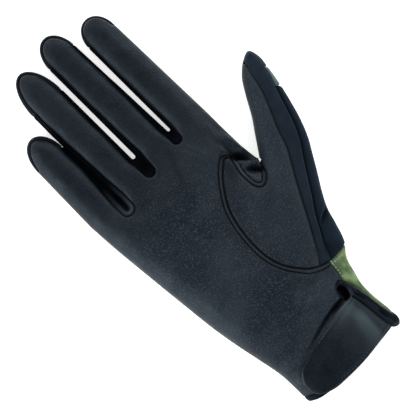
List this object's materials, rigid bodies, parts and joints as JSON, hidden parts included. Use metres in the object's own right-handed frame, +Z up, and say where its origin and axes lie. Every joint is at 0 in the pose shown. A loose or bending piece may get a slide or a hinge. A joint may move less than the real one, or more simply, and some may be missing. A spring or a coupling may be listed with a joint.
{
  "type": "riding glove",
  "caption": "Right-hand riding glove with a leather palm, stretch fabric back, set-in thumb, finger gussets and a wrist tab.",
  "frame": {"origin": "middle of the glove's box, on the surface that the back of the glove rests on", "axes": "+Y towards the fingertips, +X towards the thumb's side, +Z up out of the palm"},
  "size_m": [0.1274, 0.2402, 0.0218],
  "materials": {
    "black_leather": "fine-grained matt synthetic leather",
    "navy_stretch_fabric": "matt stretch fabric",
    "light_navy_fabric": "matt stretch fabric",
    "grey_green_fabric": "matt woven fabric",
    "olive_fabric": "matt mottled stretch fabric",
    "black_fabric": "matt stretch fabric",
    "black_binding": "ribbed binding tape"
  },
  "bodies": {
    "root": {"palm_panel": "black_leather", "thumb_panel": "black_leather", "thumb_side_strip": "navy_stretch_fabric", "thumb_back": "light_navy_fabric", "thumb_tip_patch": "grey_green_fabric", "back_panel": "olive_fabric", "finger_backs": "black_fabric", "fourchette_little_ring": "black_fabric", "fourchette_ring_middle": "black_fabric", "fourchette_middle_index": "black_fabric", "slit_binding": "black_binding", "cuff_hem": "black_binding", "closure_tab": "black_leather"}
  },
  "joints": []
}
